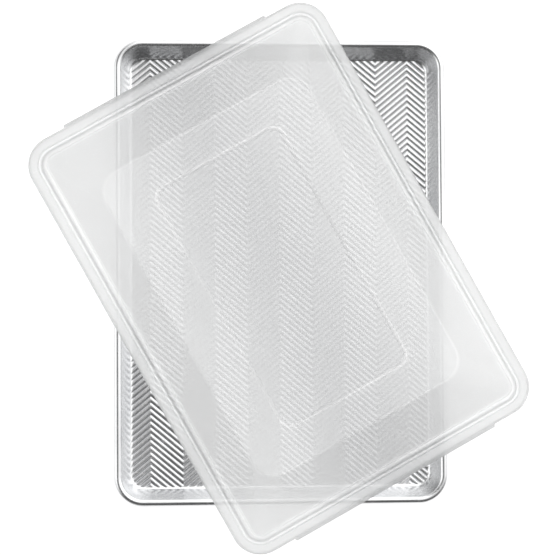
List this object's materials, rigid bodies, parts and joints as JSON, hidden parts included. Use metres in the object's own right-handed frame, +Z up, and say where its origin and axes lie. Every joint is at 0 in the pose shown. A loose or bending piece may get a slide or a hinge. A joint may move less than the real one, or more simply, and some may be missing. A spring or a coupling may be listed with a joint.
{
  "type": "sheet pan with lid",
  "caption": "Rectangular aluminium sheet pan with herringbone embossed floor, sloping walls and wired rolled rim, with a hazy plastic storage lid lying loose on its rim.",
  "frame": {"origin": "middle of the pan's underside, on the surface the pan stands on", "axes": "+Z up out of the pan, +Y along the pan's long side, +X along its short side"},
  "size_m": [0.4902, 0.5406, 0.0477],
  "materials": {
    "sheet": "satin",
    "wire": "galvanised",
    "lid_plastic": "hazy, translucent"
  },
  "bodies": {
    "pan_body": {"pan": "sheet", "rim_wire": "wire"},
    "lid_body": {"lid": "lid_plastic"}
  },
  "joints": [
    {"name": "lid_lift", "type": "slide", "parent": "pan_body", "child": "lid_body", "axis": [0, 0, 1], "range_m": [0, 0.12]}
  ]
}
